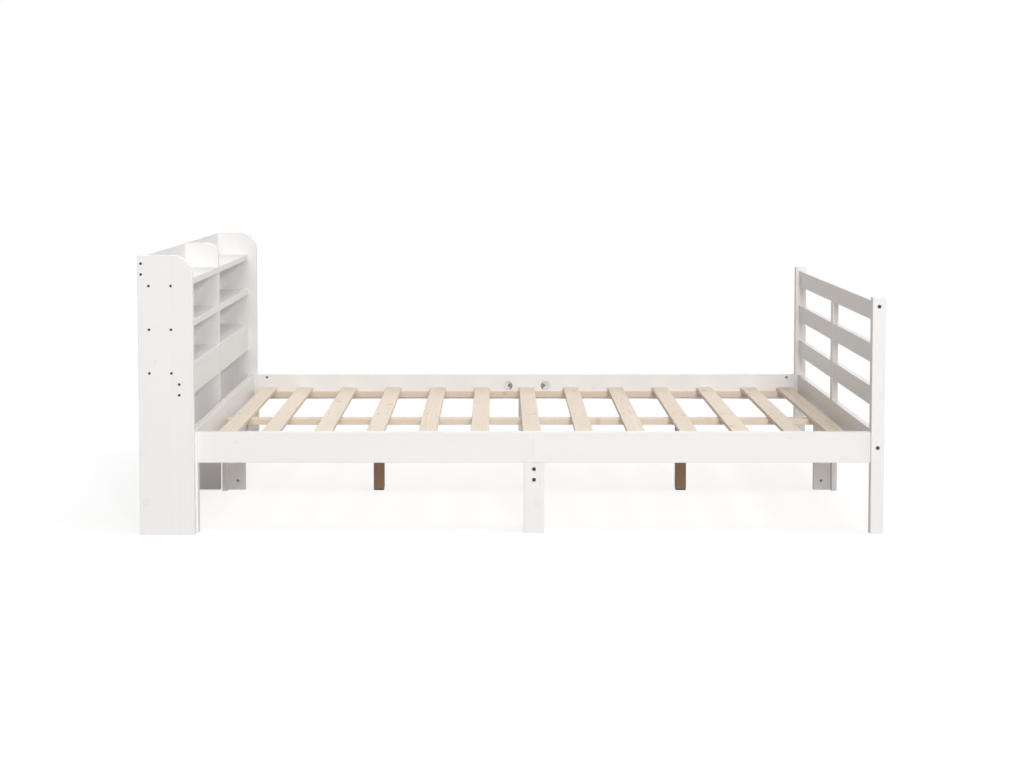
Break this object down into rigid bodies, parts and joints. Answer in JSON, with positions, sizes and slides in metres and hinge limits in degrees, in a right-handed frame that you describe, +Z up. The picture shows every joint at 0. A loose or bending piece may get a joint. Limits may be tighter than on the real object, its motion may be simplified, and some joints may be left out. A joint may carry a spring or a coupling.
{
  "type": "bed frame",
  "caption": "Painted wooden bed frame with a slatted base, an open bookcase headboard and a railed foot end.",
  "frame": {"origin": "on the floor, in the middle of the overall box", "axes": "+X along the bed from head to foot, +Y across it to the right side, +Z up"},
  "size_m": [2.208, 1.29, 0.83],
  "materials": {
    "white_paint": "satin white paint on solid wood",
    "bare_pine": "planed bare softwood",
    "dowel_wood": "plain hardwood dowel",
    "dark_steel": "blackened steel",
    "zinc_steel": "zinc plated steel",
    "felt": "dark pressed felt"
  },
  "bodies": {
    "root": {"beam_leg_foot": "bare_pine", "beam_leg_head": "bare_pine", "beam_leg_pads": "felt", "bottom_shelf_left": "white_paint", "bottom_shelf_right": "white_paint", "center_beam": "bare_pine", "cleat_left": "bare_pine", "cleat_right": "bare_pine", "dowels": "dowel_wood", "foot_board": "white_paint", "foot_center_brace": "white_paint", "foot_center_leg": "white_paint", "foot_lower_rail_left": "white_paint", "foot_lower_rail_right": "white_paint", "foot_mullion": "white_paint", "foot_post_left": "white_paint", "foot_post_right": "white_paint", "foot_top_rail": "white_paint", "foot_upper_rail_left": "white_paint", "foot_upper_rail_right": "white_paint", "frame_bolts": "dark_steel", "frame_nuts": "zinc_steel", "frame_screws": "dark_steel", "head_center_brace": "white_paint", "head_center_leg": "white_paint", "head_leg_left": "white_paint", "head_leg_right": "white_paint", "head_rail": "white_paint", "headboard_divider": "white_paint", "headboard_side_left": "white_paint", "headboard_side_right": "white_paint", "middle_shelf_left": "white_paint", "middle_shelf_right": "white_paint", "shelf_apron_left": "white_paint", "shelf_apron_right": "white_paint", "side_leg_brace_left": "white_paint", "side_leg_brace_right": "white_paint", "side_leg_left": "white_paint", "side_leg_right": "white_paint", "side_rail_left_foot": "white_paint", "side_rail_left_head": "white_paint", "side_rail_right_foot": "white_paint", "side_rail_right_head": "white_paint", "slat_01": "bare_pine", "slat_02": "bare_pine", "slat_03": "bare_pine", "slat_04": "bare_pine", "slat_05": "bare_pine", "slat_06": "bare_pine", "slat_07": "bare_pine", "slat_08": "bare_pine", "slat_09": "bare_pine", "slat_10": "bare_pine", "slat_11": "bare_pine", "slat_12": "bare_pine", "slat_13": "bare_pine", "slat_screws": "dark_steel", "top_back_board": "white_paint", "top_shelf_left": "white_paint", "top_shelf_right": "white_paint"}
  },
  "joints": []
}
